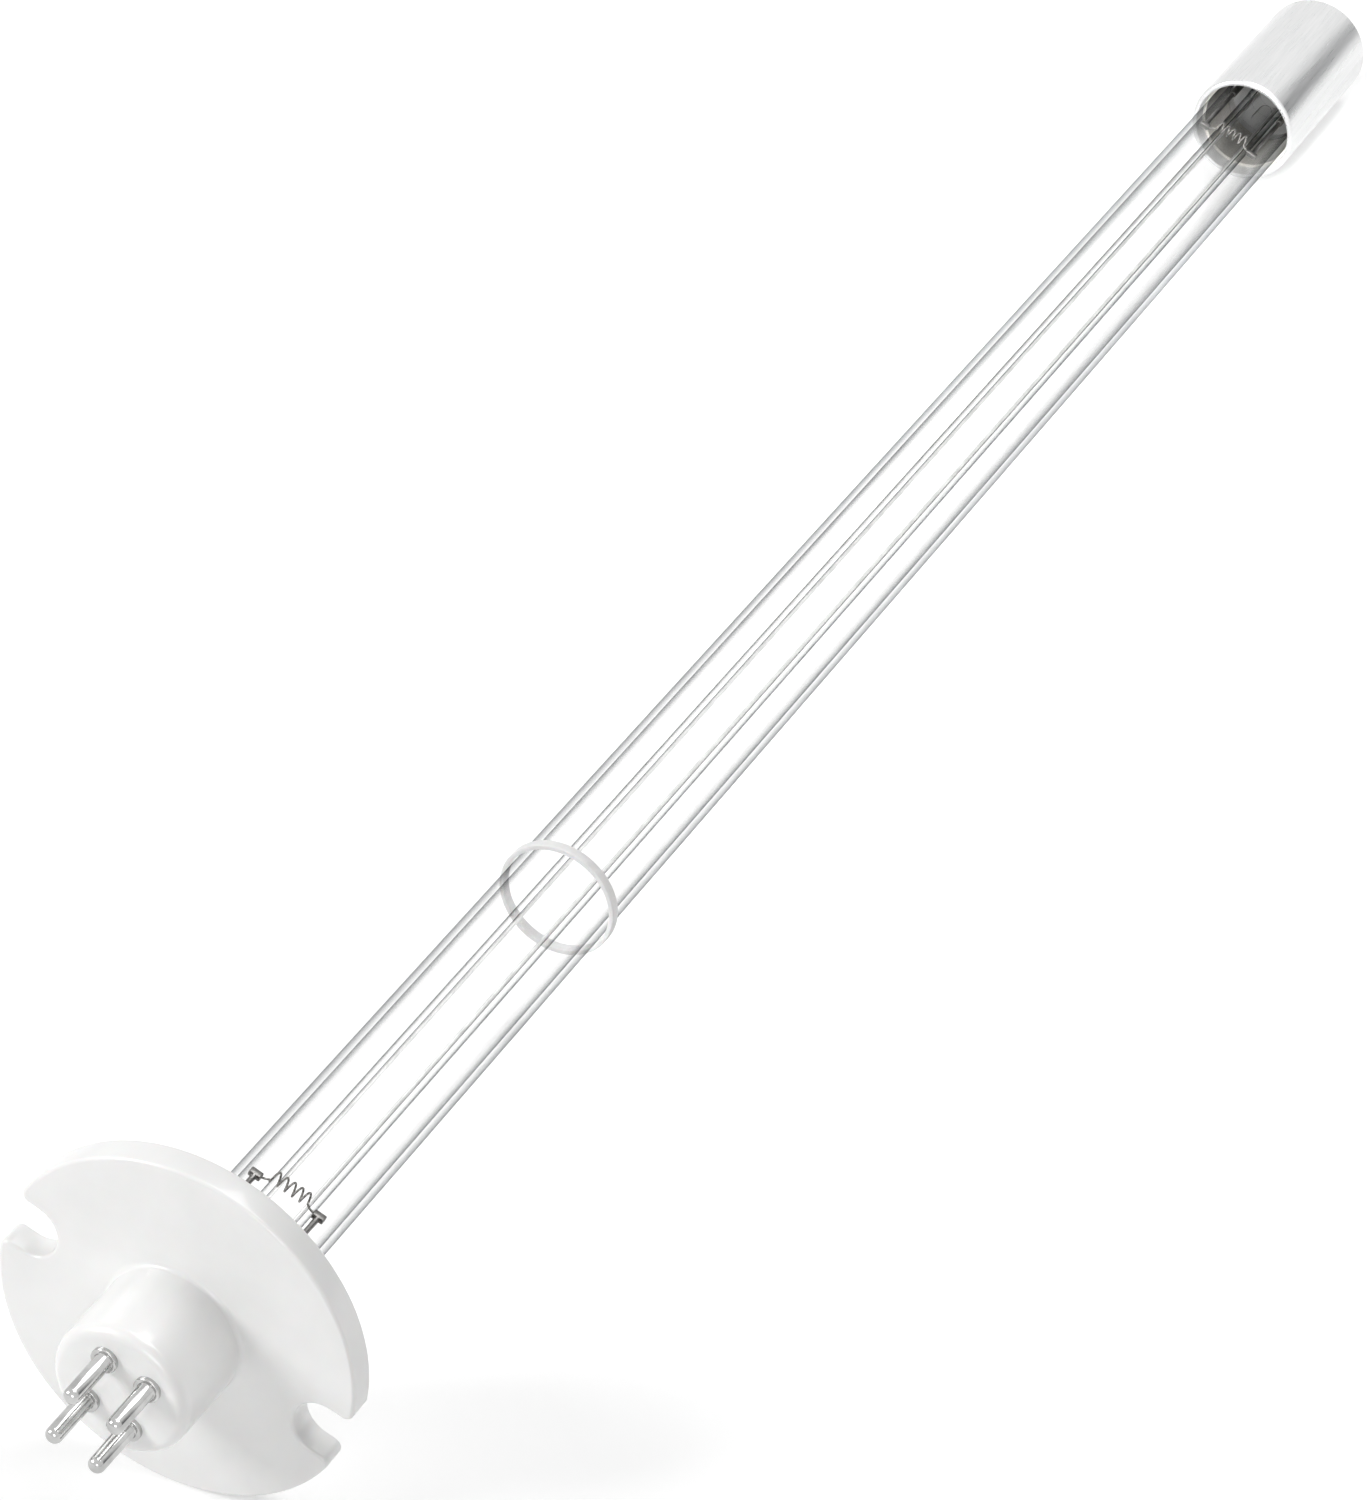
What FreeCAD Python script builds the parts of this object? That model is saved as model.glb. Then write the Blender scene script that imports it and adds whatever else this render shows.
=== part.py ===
import FreeCAD, Part

import math
import os
import re

import Sketcher

# Four-pin germicidal lamp: a ceramic flange base, a clear quartz tube with a thinner return tube
# inside it, a filament at each end, a support ring and a metal end cap.
# Every piece is drawn about the lamp's own axis: X runs from the base towards the cap and starts at
# the flange's pin-side face, -Y points at one notch and Z is the side that ends up on top.

DIMENSIONS = {
    # Ceramic base
    "flange_diameter": 50.8,
    "flange_thickness": 4.2,
    "flange_edge_bevel": 0.7,
    "notch_width": 8.0,
    "notch_depth": 7.3,
    "notch_corner_radius": 1.2,
    "neck_wall": 3.0,
    "neck_length": 13.3,
    "neck_edge_bevel": 1.0,
    "collar_wall": 2.3,
    "collar_length": 12.0,
    "collar_edge_bevel": 0.8,
    "pin_wall": 4.0,
    "chamber_clearance": 0.25,
    "tube_seat": 2.4,
    "cement_gap": 0.5,
    "cement_recess": 0.8,
    "cement_clearance": 0.05,
    # Contact pins
    "pin_pitch_across": 6.35,
    "pin_pitch_along": 7.92,
    "pin_diameter": 2.35,
    "pin_length": 8.5,
    "pin_nose_bevel": 0.5,
    "pin_collar_diameter": 3.6,
    "pin_collar_thickness": 0.6,
    "pin_tail_length": 3.0,
    "pin_cup_slack": 0.4,
    "pin_cup_depth": 2.4,
    "pin_clearance": 0.05,
    # Glass
    "tube_diameter": 16.0,
    "tube_wall": 1.0,
    "return_tube_diameter": 7.0,
    "return_tube_wall": 0.9,
    "return_tube_overhang": 2.0,
    "return_tube_inset": 4.0,
    "stem_thickness": 3.0,
    "base_stem_inset": 9.6,
    "bead_diameter": 1.8,
    "bead_height": 1.3,
    "seal_clearance": 0.1,
    "exhaust_clearance": 0.45,
    "exhaust_length": 5.0,
    # Cap and ring
    "cap_distance": 371.5,
    "cap_gap": 0.6,
    "cap_length": 38.5,
    "cap_wall": 0.95,
    "cap_edge_bevel": 0.8,
    "cap_rim_bevel": 0.2,
    "cap_overlap": 14.5,
    "cap_cement_recess": 3.2,
    "ring_distance": 103.4,
    "ring_width": 1.6,
    "ring_thickness": 0.75,
    "ring_clearance": 0.15,
    # Filaments, posts and leads
    "base_filament_rise": 11.2,
    "cap_filament_reach": 10.5,
    "coil_inner_gap": 0.35,
    "coil_outer_gap": 1.15,
    "coil_pitch": 1.15,
    "coil_turns": 5,
    "filament_wire": 0.3,
    "post_angle": 34.0,
    "post_wire": 0.8,
    "post_bend_gap": 1.2,
    "post_root_diameter": 1.2,
    "post_root_length": 7.0,
    "lug_width": 1.8,
    "lug_length": 1.1,
    "lug_thickness": 0.9,
    "lug_taper": 1.8,
    "lug_clearance": 0.1,
    "return_wire": 0.5,
    "return_wire_clearance": 0.15,
    "wire_clearance": 0.03,
    "sleeve_wall": 0.3,
    "sleeve_slack": 0.4,
    "sleeve_length": 4.0,
    "sleeve_gap": 6.5,
    # Rest: turn of the lamp about its own axis as it lies on a table
    "rest_roll": 22.0,
}

doc = FreeCAD.newDocument("germicidal_lamp")
sheet = doc.addObject("Spreadsheet::Sheet", "sizes")
for row, (alias, number) in enumerate(DIMENSIONS.items(), start=1):
    sheet.set("A%d" % row, alias)
    sheet.set("B%d" % row, str(number))
    sheet.setAlias("B%d" % row, alias)
doc.recompute()


def bound(formula):
    """A formula in the sheet's words, as an expression on its cells."""
    return re.sub(r"\b[a-z_]+\b(?!\()", lambda word: "sizes." + word.group(0), formula)


def size(formula):
    """The number that a formula in the sheet's words comes to."""
    return float(sheet.evalExpression(bound(formula)))


# Places along the lamp that several pieces share, as formulas of the driving dimensions
BASE_END = "-neck_length"
COLLAR_END = "(flange_thickness + collar_length)"
BASE_STEM_START = "(tube_seat + base_stem_inset)"
BASE_FILAMENT = "(%s + stem_thickness + base_filament_rise)" % BASE_STEM_START
CAP_FILAMENT = "(cap_distance - cap_filament_reach)"
TUBE_END = "(cap_distance + cap_overlap)"
CAP_STEM_START = "(%s - stem_thickness)" % TUBE_END
RETURN_START = "(%s - return_tube_inset)" % BASE_STEM_START
RETURN_END = "(%s + return_tube_overhang)" % TUBE_END
SLEEVE_START = "(%s + sleeve_gap)" % TUBE_END
CAP_END = "(cap_distance + cap_length)"

# Diameters and offsets that follow from what fits inside what
CHAMBER = ("(sqrt(pin_pitch_across * pin_pitch_across + pin_pitch_along * pin_pitch_along)"
           " + pin_diameter + 2 * chamber_clearance)")
NECK = "(%s + 2 * neck_wall)" % CHAMBER
SOCKET = "(tube_diameter + 2 * cement_gap)"
COLLAR = "(%s + 2 * collar_wall)" % SOCKET
PIN_CUP = "(post_wire + pin_cup_slack)"
TUBE_BORE = "(tube_diameter - 2 * tube_wall)"
RETURN_BORE = "(return_tube_diameter - 2 * return_tube_wall)"
TUBE_GAP = "((%s - return_tube_diameter) / 2)" % TUBE_BORE
EXHAUST = "(%s - 2 * exhaust_clearance)" % TUBE_GAP
CAP_BORE = "(tube_diameter + 2 * cap_gap)"
CAP = "(%s + 2 * cap_wall)" % CAP_BORE
RING_BORE = "(tube_diameter + 2 * ring_clearance)"
RING = "(%s + 2 * ring_thickness)" % RING_BORE
COIL = "(%s - coil_inner_gap - coil_outer_gap - filament_wire)" % TUBE_GAP
COIL_HEIGHT = "((return_tube_diameter + filament_wire + %s) / 2 + coil_inner_gap)" % COIL
POST_CIRCLE = ("(%s - 2 * lug_clearance"
               " - sqrt(lug_width * lug_width + lug_thickness * lug_thickness))" % TUBE_BORE)
POST_ACROSS = "(%s / 2 * cos(post_angle))" % POST_CIRCLE
POST_UP = "(%s / 2 * sin(post_angle))" % POST_CIRCLE
SLEEVE_BORE = "(post_wire + return_wire + sleeve_slack)"
RETURN_WIRE_ACROSS = "((%s - return_wire) / 2 - return_wire_clearance)" % RETURN_BORE


def new_body(label):
    body = doc.addObject("PartDesign::Body", label)
    body.Label = label
    return body


def new_sketch(body, plane, name):
    """A sketch on one of the body's origin planes."""
    sketch = body.newObject("Sketcher::SketchObject", name)
    for feature in body.Origin.OriginFeatures:
        if feature.Role == plane:
            sketch.AttachmentSupport = [(feature, "")]
    sketch.MapMode = "FlatFace"
    return sketch


def place_point(sketch, geometry, position, across, up):
    """Dimension one point of a sketch from its origin."""
    for kind, formula in (("DistanceX", across), ("DistanceY", up)):
        index = sketch.addConstraint(
            Sketcher.Constraint(kind, -1, 1, geometry, position, size(formula)))
        sketch.setExpression("Constraints[%d]" % index, bound(formula))


def draw_outline(sketch, corners):
    """Closed outline of straight edges; each corner is a pair of formulas."""
    points = [FreeCAD.Vector(size(across), size(up), 0) for across, up in corners]
    first = sketch.GeometryCount
    count = len(points)
    for number in range(count):
        sketch.addGeometry(Part.LineSegment(points[number], points[(number + 1) % count]))
    for number in range(count):
        follower = first + (number + 1) % count
        sketch.addConstraint(Sketcher.Constraint("Coincident", first + number, 2, follower, 1))
    for number, (across, up) in enumerate(corners):
        place_point(sketch, first + number, 1, across, up)


def draw_circle(sketch, across, up, diameter):
    center = FreeCAD.Vector(size(across), size(up), 0)
    upright = FreeCAD.Vector(0, 0, 1)
    number = sketch.addGeometry(Part.Circle(center, upright, size(diameter) / 2))
    place_point(sketch, number, 3, across, up)
    index = sketch.addConstraint(Sketcher.Constraint("Diameter", number, size(diameter)))
    sketch.setExpression("Constraints[%d]" % index, bound(diameter))


def revolve(body, name, corners, subtract=False):
    """Turn an outline of (distance along the axis, radius) pairs about the lamp's axis."""
    sketch = new_sketch(body, "XZ_Plane", name + "_profile")
    draw_outline(sketch, corners)
    kind = "PartDesign::Groove" if subtract else "PartDesign::Revolution"
    feature = body.newObject(kind, name)
    feature.Profile = sketch
    feature.ReferenceAxis = (sketch, ["H_Axis"])
    feature.Angle = 360
    sketch.Visibility = False
    doc.recompute()
    return feature


def crosswise_sketch(body, name, distance):
    """A sketch square to the lamp's axis, at a distance along it."""
    sketch = new_sketch(body, "YZ_Plane", name)
    sketch.setExpression("AttachmentOffset.Base.z", bound(distance))
    return sketch


def pad(body, name, sketch, length):
    feature = body.newObject("PartDesign::Pad", name)
    feature.Profile = sketch
    feature.setExpression("Length", bound(length))
    sketch.Visibility = False
    doc.recompute()
    return feature


def pocket(body, name, sketch, length):
    """Cut a crosswise sketch away towards +X."""
    feature = body.newObject("PartDesign::Pocket", name)
    feature.Profile = sketch
    feature.Reversed = True
    feature.setExpression("Length", bound(length))
    sketch.Visibility = False
    doc.recompute()
    return feature


def near(first, second):
    return abs(first - second) < 1e-3


def flat_edges(feature, distance):
    """Names of the edges that lie square to the lamp's axis at this distance."""
    names = []
    for number, edge in enumerate(feature.Shape.Edges, start=1):
        bounds = edge.BoundBox
        if near(bounds.XMin, distance) and near(bounds.XMax, distance):
            names.append("Edge%d" % number)
    return names


def ring_edges(feature, distance, diameter):
    """Names of the full circles about the lamp's axis with this place and diameter."""
    names = []
    for number, edge in enumerate(feature.Shape.Edges, start=1):
        curve = edge.Curve
        if not isinstance(curve, Part.Circle) or len(edge.Vertexes) != 1:
            continue
        on_axis = near(curve.Center.y, 0) and near(curve.Center.z, 0)
        if on_axis and near(curve.Center.x, distance) and near(curve.Radius, diameter / 2):
            names.append("Edge%d" % number)
    return names


def fillet(body, name, feature, edges, radius):
    rounding = body.newObject("PartDesign::Fillet", name)
    rounding.Base = (feature, edges)
    rounding.setExpression("Radius", bound(radius))
    doc.recompute()
    return rounding


def bevel(body, name, feature, edges, width):
    chamfer = body.newObject("PartDesign::Chamfer", name)
    chamfer.Base = (feature, edges)
    chamfer.setExpression("Size", bound(width))
    doc.recompute()
    return chamfer


def make_ceramic_base():
    """One pressed and glazed casting: notched flange, neck with pin holes, collar and socket."""
    body = new_body("ceramic_base")
    disc = crosswise_sketch(body, "flange_outline", "0")
    draw_circle(disc, "0", "0", "flange_diameter")
    flange = pad(body, "flange", disc, "flange_thickness")

    slots = crosswise_sketch(body, "notch_outline", "0")
    inner = "(flange_diameter / 2 - notch_depth + notch_width / 2)"
    for side in ("-1", "1"):
        corners = [
            (side + " * " + inner, "-notch_width / 2"),
            (side + " * flange_diameter", "-notch_width / 2"),
            (side + " * flange_diameter", "notch_width / 2"),
            (side + " * " + inner, "notch_width / 2"),
        ]
        draw_outline(slots, corners)
    pocket(body, "notches", slots, "flange_thickness")
    ends = crosswise_sketch(body, "notch_end_outline", "0")
    for side in ("-1", "1"):
        draw_circle(ends, side + " * " + inner, "0", "notch_width")
    flange = pocket(body, "notch_ends", ends, "flange_thickness")

    half_width = size("notch_width / 2")
    rim = size("flange_diameter / 2")
    mouth = math.sqrt(rim ** 2 - half_width ** 2)
    corners = []
    for number, edge in enumerate(flange.Shape.Edges, start=1):
        middle = edge.CenterOfMass
        if near(abs(middle.y), mouth) and near(abs(middle.z), half_width):
            corners.append("Edge%d" % number)
    flange = fillet(body, "notch_corners", flange, corners, "notch_corner_radius")

    outline = flat_edges(flange, 0) + flat_edges(flange, size("flange_thickness"))
    bevel(body, "flange_edges", flange, outline, "flange_edge_bevel")

    neck = crosswise_sketch(body, "neck_outline", BASE_END)
    draw_circle(neck, "0", "0", NECK)
    base = pad(body, "neck", neck, "neck_length + flange_thickness / 2")
    collar = crosswise_sketch(body, "collar_outline", "flange_thickness / 2")
    draw_circle(collar, "0", "0", COLLAR)
    base = pad(body, "collar", collar, "flange_thickness / 2 + collar_length")

    edges = ring_edges(base, size(BASE_END), size(NECK))
    base = bevel(body, "neck_edge", base, edges, "neck_edge_bevel")
    edges = ring_edges(base, size(COLLAR_END), size(COLLAR))
    bevel(body, "collar_edge", base, edges, "collar_edge_bevel")

    chamber_start = BASE_END + " + pin_wall"
    revolve(body, "socket_and_chamber", [
        (chamber_start, "0"),
        (chamber_start, CHAMBER + " / 2"),
        ("tube_seat", CHAMBER + " / 2"),
        ("tube_seat", SOCKET + " / 2"),
        (COLLAR_END, SOCKET + " / 2"),
        (COLLAR_END, "0"),
    ], subtract=True)

    holes = crosswise_sketch(body, "pin_hole_outline", BASE_END)
    for across, up in PIN_PLACES:
        draw_circle(holes, across, up, "pin_diameter + 2 * pin_clearance")
    pocket(body, "pin_holes", holes, "pin_wall")
    return body


# Contact pins in order: the two that meet the base posts, then the two on the return wires
PIN_PLACES = [
    ("-pin_pitch_across / 2", "pin_pitch_along / 2"),
    ("pin_pitch_across / 2", "pin_pitch_along / 2"),
    ("-pin_pitch_across / 2", "-pin_pitch_along / 2"),
    ("pin_pitch_across / 2", "-pin_pitch_along / 2"),
]


def make_contact_pin(number, across, up):
    """Turned pin: rounded tip, collar that seats on the neck, shank and a solder cup."""
    body = new_body("contact_pin_%d" % number)
    sketch = new_sketch(body, "XY_Plane", "pin_%d_profile" % number)
    shank = "pin_diameter / 2"
    flare = "pin_collar_diameter / 2"
    cup = PIN_CUP + " / 2"
    tail = BASE_END + " + pin_wall + pin_tail_length"
    corners = [
        (BASE_END + " - pin_length", "0"),
        (BASE_END + " - pin_length", shank + " - pin_nose_bevel"),
        (BASE_END + " - pin_length + pin_nose_bevel", shank),
        (BASE_END + " - pin_collar_thickness", shank),
        (BASE_END + " - pin_collar_thickness", flare),
        (BASE_END, flare),
        (BASE_END, shank),
        (tail, shank),
        (tail, cup),
        (tail + " - pin_cup_depth", cup),
        (tail + " - pin_cup_depth", "0"),
    ]
    draw_outline(sketch, corners)
    sketch.setExpression("AttachmentOffset.Base.y", bound(across))
    sketch.setExpression("AttachmentOffset.Base.z", bound(up))
    turned = body.newObject("PartDesign::Revolution", "turned_pin_%d" % number)
    turned.Profile = sketch
    turned.ReferenceAxis = (sketch, ["H_Axis"])
    turned.Angle = 360
    sketch.Visibility = False
    doc.recompute()
    return body


def make_sleeve_of_revolution(label, start, end, inner, outer):
    """Plain round tube about the lamp's axis."""
    body = new_body(label)
    revolve(body, label + "_wall", [
        (start, inner + " / 2"),
        (start, outer + " / 2"),
        (end, outer + " / 2"),
        (end, inner + " / 2"),
    ])
    return body


def post_places():
    """Where the two posts of a filament stand, as seen across the lamp."""
    return [("-" + POST_ACROSS, POST_UP), (POST_ACROSS, POST_UP)]


def make_stem(label, start, bead_side, exhaust):
    """Button stem: glass disc with a hole for the return tube, a bead and hole for each post."""
    body = new_body(label)
    disc = crosswise_sketch(body, label + "_disc", start)
    draw_circle(disc, "0", "0", TUBE_BORE + " - 2 * seal_clearance")
    button = pad(body, label + "_button", disc, "stem_thickness")
    if bead_side > 0:
        bead_start = start + " + stem_thickness / 2"
        bead_tip = size(start + " + stem_thickness + bead_height")
    else:
        bead_start = start + " - bead_height"
        bead_tip = size(bead_start)
    beads = crosswise_sketch(body, label + "_bead_outline", bead_start)
    for across, up in post_places():
        draw_circle(beads, across, up, "bead_diameter")
    button = pad(body, label + "_beads", beads, "stem_thickness / 2 + bead_height")
    tips = flat_edges(button, bead_tip)
    bevel(body, label + "_bead_tips", button, tips, "(bead_diameter - post_wire) / 4")
    if exhaust:
        nub = crosswise_sketch(body, label + "_exhaust_outline", start + " + stem_thickness / 2")
        draw_circle(nub, "0", "-(return_tube_diameter + %s) / 2" % TUBE_GAP, EXHAUST)
        button = pad(body, label + "_exhaust", nub, "stem_thickness / 2 + exhaust_length")
        tip = flat_edges(button, size(start + " + stem_thickness + exhaust_length"))
        bevel(body, label + "_sealed_tip", button, tip, EXHAUST + " / 3")
    holes = crosswise_sketch(body, label + "_hole_outline", start + " - bead_height")
    draw_circle(holes, "0", "0", "return_tube_diameter + 2 * seal_clearance")
    for across, up in post_places():
        draw_circle(holes, across, up, "post_wire + 2 * wire_clearance")
    pocket(body, label + "_holes", holes, "stem_thickness + 2 * bead_height")
    return body


def make_end_cap():
    """Drawn metal cup over the far end of the tube."""
    body = new_body("end_cap")
    cup = revolve(body, "cup", [
        ("cap_distance", CAP_BORE + " / 2"),
        ("cap_distance", CAP + " / 2"),
        (CAP_END, CAP + " / 2"),
        (CAP_END, "0"),
        (CAP_END + " - cap_wall", "0"),
        (CAP_END + " - cap_wall", CAP_BORE + " / 2"),
    ])
    edges = ring_edges(cup, size(CAP_END), size(CAP))
    cup = bevel(body, "cup_corner", cup, edges, "cap_edge_bevel")
    edges = ring_edges(cup, size("cap_distance"), size(CAP))
    edges += ring_edges(cup, size("cap_distance"), size(CAP_BORE))
    bevel(body, "cup_rim", cup, edges, "cap_rim_bevel")
    return body


def make_tube_ring():
    """Narrow support ring that grips the tube."""
    body = new_body("tube_ring")
    end = "ring_distance + ring_width"
    revolve(body, "band", [
        ("ring_distance", RING_BORE + " / 2"),
        ("ring_distance", RING + " / 2"),
        (end, RING + " / 2"),
        (end, RING_BORE + " / 2"),
    ])
    return body


def add_shape(label, shape):
    feature = doc.addObject("Part::Feature", label)
    feature.Label = label
    feature.Shape = shape
    return feature


# Sides of a drawn wire's section
WIRE_SIDES = 8


def bent_wire(points, diameter):
    """Wire through a list of points: a section at each point, square to the bend, joined by straight runs."""
    sections = []
    across = None
    for number, point in enumerate(points):
        before = points[max(number - 1, 0)]
        after = points[min(number + 1, len(points) - 1)]
        inward = (point - before).normalize() if number else (after - point).normalize()
        outward = (after - point).normalize() if number < len(points) - 1 else inward
        along = (inward + outward).normalize()
        if across is None:
            across = along.cross(FreeCAD.Vector(0, 0, 1)).normalize()
        # the section's first corner is carried along the last run, so the wire doesn't twist
        across = across - inward * (across.dot(along) / inward.dot(along))
        side = across.cross(inward).normalize() * (diameter / 2)
        across = (across - inward * across.dot(inward)).normalize()
        ring = []
        for corner in range(WIRE_SIDES):
            angle = 2 * math.pi * corner / WIRE_SIDES
            spoke = across * (diameter / 2 * math.cos(angle)) + side * math.sin(angle)
            ring.append(point + spoke - inward * (spoke.dot(along) / inward.dot(along)))
        sections.append(Part.makePolygon(ring + ring[:1]))
    return Part.makeLoft(sections, True, True)


def lug(distance, across, up, towards):
    """Flattened clamp at a post's end, with a hole for the filament's leg and a taper to the wire."""
    length = size("lug_length")
    width = size("lug_width")
    thickness = size("lug_thickness")
    corner = FreeCAD.Vector(distance - length / 2, across - width / 2, up - thickness / 2)
    bar = Part.makeBox(length, width, thickness, corner)
    start = FreeCAD.Vector(distance + towards * length / 4, across, up)
    reach = length / 4 + size("lug_taper")
    taper = Part.makeCone(thickness / 2, size("post_wire / 2"), reach, start,
                          FreeCAD.Vector(towards, 0, 0))
    hole_start = FreeCAD.Vector(distance, across - width, up)
    hole = Part.makeCylinder(size("filament_wire / 2 + wire_clearance"), 2 * width, hole_start,
                             FreeCAD.Vector(0, 1, 0))
    return bar.fuse(taper).cut(hole)


def make_base_post(label, side):
    """Nickel post from the base filament through the stem and down to a pin's solder cup."""
    across = side * size(POST_ACROSS)
    up = size(POST_UP)
    distance = size(BASE_FILAMENT)
    pin_across = side * size("pin_pitch_across / 2")
    pin_up = size("pin_pitch_along / 2")
    cup_mouth = size(BASE_END + " + pin_wall + pin_tail_length")
    cup_floor = cup_mouth - size("pin_cup_depth")
    elbow = size(BASE_STEM_START + " - post_bend_gap")
    points = [
        FreeCAD.Vector(distance - size("lug_length / 2 + lug_taper / 2"), across, up),
        FreeCAD.Vector(elbow, across, up),
        FreeCAD.Vector(cup_mouth + size("2 * post_bend_gap"), pin_across, pin_up),
        FreeCAD.Vector(cup_floor + size("wire_clearance"), pin_across, pin_up),
    ]
    wire = bent_wire(points, size("post_wire"))
    return add_shape(label, wire.fuse(lug(distance, across, up, -1)))


def sleeve_place(side):
    """Centre of a crimp sleeve: just inside the post, towards the lamp's axis."""
    across = side * size(POST_ACROSS)
    up = size(POST_UP)
    inward = 1 - size("(%s - post_wire - sleeve_slack / 2) / %s" % (SLEEVE_BORE, POST_CIRCLE))
    return across * inward, up * inward


def return_wire_place_in_sleeve(side):
    """The return wire lies beside the post in the sleeve, nearer the lamp's axis."""
    across = side * size(POST_ACROSS)
    up = size(POST_UP)
    inward = 1 - size("(post_wire + return_wire + sleeve_slack) / %s" % POST_CIRCLE)
    return across * inward, up * inward


def make_cap_post(label, side):
    """Nickel post from the cap filament through the far stem into a crimp sleeve."""
    across = side * size(POST_ACROSS)
    up = size(POST_UP)
    distance = size(CAP_FILAMENT)
    stem = size(CAP_STEM_START)
    points = [
        FreeCAD.Vector(distance + size("lug_length / 2 + lug_taper / 2"), across, up),
        FreeCAD.Vector(size(SLEEVE_START + " + sleeve_length * 7 / 8"), across, up),
    ]
    wire = bent_wire(points, size("post_wire"))
    root_end = stem - size("bead_height + wire_clearance")
    root_start = FreeCAD.Vector(root_end - size("post_root_length"), across, up)
    root = Part.makeCylinder(size("post_root_diameter / 2"), size("post_root_length"), root_start,
                             FreeCAD.Vector(1, 0, 0))
    return add_shape(label, wire.multiFuse([root, lug(distance, across, up, 1)]))


# Straight runs that make one turn of a coil
RUNS_PER_TURN = 10


def make_filament(label, place):
    """Coiled tungsten wire across the lamp, with a leg into each lug."""
    distance = size(place)
    turns = round(size("coil_turns"))
    pitch = size("coil_pitch")
    radius = size(COIL + " / 2")
    height = size(COIL_HEIGHT)
    leg_up = size(POST_UP)
    half_length = turns * pitch / 2
    lug_inner = size(POST_ACROSS + " - lug_width / 2 - filament_wire / 2")
    lug_outer = size(POST_ACROSS + " + lug_width / 4")
    points = [
        FreeCAD.Vector(distance, -lug_outer, leg_up),
        FreeCAD.Vector(distance, -lug_inner, leg_up),
    ]
    for run in range(turns * RUNS_PER_TURN + 1):
        angle = 2 * math.pi * run / RUNS_PER_TURN
        points.append(FreeCAD.Vector(
            distance + radius * math.sin(angle),
            pitch * run / RUNS_PER_TURN - half_length,
            height - radius * math.cos(angle)))
    points.append(FreeCAD.Vector(distance, lug_inner, leg_up))
    points.append(FreeCAD.Vector(distance, lug_outer, leg_up))
    return add_shape(label, bent_wire(points, size("filament_wire")))


def make_return_wire(label, side):
    """Wire that brings the cap filament's current back through the return tube to a pin."""
    pin_across = side * size("pin_pitch_across / 2")
    pin_up = -size("pin_pitch_along / 2")
    cup_mouth = size(BASE_END + " + pin_wall + pin_tail_length")
    cup_floor = cup_mouth - size("pin_cup_depth")
    across = side * size(RETURN_WIRE_ACROSS)
    sleeve_start = size(SLEEVE_START)
    sleeve_across, sleeve_up = return_wire_place_in_sleeve(side)
    bend = size("2 * return_wire")
    points = [
        FreeCAD.Vector(cup_floor + size("wire_clearance"), pin_across, pin_up),
        FreeCAD.Vector(cup_mouth + bend, pin_across, pin_up),
        FreeCAD.Vector(size(RETURN_START) - bend, across, 0),
        FreeCAD.Vector(size(RETURN_END) + bend, across, 0),
        FreeCAD.Vector(sleeve_start - bend, sleeve_across, sleeve_up),
        FreeCAD.Vector(sleeve_start + size("sleeve_length * 7 / 8"), sleeve_across, sleeve_up),
    ]
    return add_shape(label, bent_wire(points, size("return_wire")))


def make_crimp_sleeve(label, side):
    """Short round sleeve that joins a cap post to its return wire."""
    across, up = sleeve_place(side)
    start = FreeCAD.Vector(size(SLEEVE_START), across, up)
    along = FreeCAD.Vector(1, 0, 0)
    length = size("sleeve_length")
    outer = Part.makeCylinder(size(SLEEVE_BORE + " / 2 + sleeve_wall"), length, start, along)
    bore = Part.makeCylinder(size(SLEEVE_BORE + " / 2"), length, start, along)
    return add_shape(label, outer.cut(bore))


def rest_placement():
    """The lamp lies on the flange's tube-side rim and the cap's far rim, rolled about its axis."""
    flange_x = size("flange_thickness - flange_edge_bevel")
    cap_x = size(CAP_END + " - cap_edge_bevel")
    drop = size("(flange_diameter - %s) / 2" % CAP)
    tilt = math.degrees(math.atan2(drop, cap_x - flange_x))
    roll = FreeCAD.Rotation(FreeCAD.Vector(1, 0, 0), size("rest_roll"))
    lean = FreeCAD.Rotation(FreeCAD.Vector(0, 1, 0), tilt)
    low_point = lean.multVec(FreeCAD.Vector(flange_x, 0, -size("flange_diameter / 2")))
    return FreeCAD.Placement(FreeCAD.Vector(0, 0, -low_point.z), lean.multiply(roll))


sub_parts = [make_ceramic_base()]
for number, (across, up) in enumerate(PIN_PLACES, start=1):
    sub_parts.append(make_contact_pin(number, across, up))
sub_parts.append(make_sleeve_of_revolution(
    "outer_tube", "tube_seat", TUBE_END, TUBE_BORE, "tube_diameter"))
sub_parts.append(make_sleeve_of_revolution(
    "inner_tube", RETURN_START, RETURN_END, RETURN_BORE, "return_tube_diameter"))
sub_parts.append(make_stem("base_stem", BASE_STEM_START, 1, False))
sub_parts.append(make_stem("cap_stem", CAP_STEM_START, -1, True))
sub_parts.append(make_sleeve_of_revolution(
    "base_cement", "(tube_seat + cement_recess)", "(%s - cement_recess)" % COLLAR_END,
    "(tube_diameter + 2 * cement_clearance)", "(%s - 2 * cement_clearance)" % SOCKET))
sub_parts.append(make_sleeve_of_revolution(
    "cap_cement", "(cap_distance + cap_cement_recess)", TUBE_END,
    "(tube_diameter + 2 * cement_clearance)", "(%s - 2 * cement_clearance)" % CAP_BORE))
sub_parts.append(make_base_post("base_post_left", -1))
sub_parts.append(make_base_post("base_post_right", 1))
sub_parts.append(make_cap_post("cap_post_left", -1))
sub_parts.append(make_cap_post("cap_post_right", 1))
sub_parts.append(make_filament("base_filament", BASE_FILAMENT))
sub_parts.append(make_filament("cap_filament", CAP_FILAMENT))
sub_parts.append(make_return_wire("return_wire_left", -1))
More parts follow.
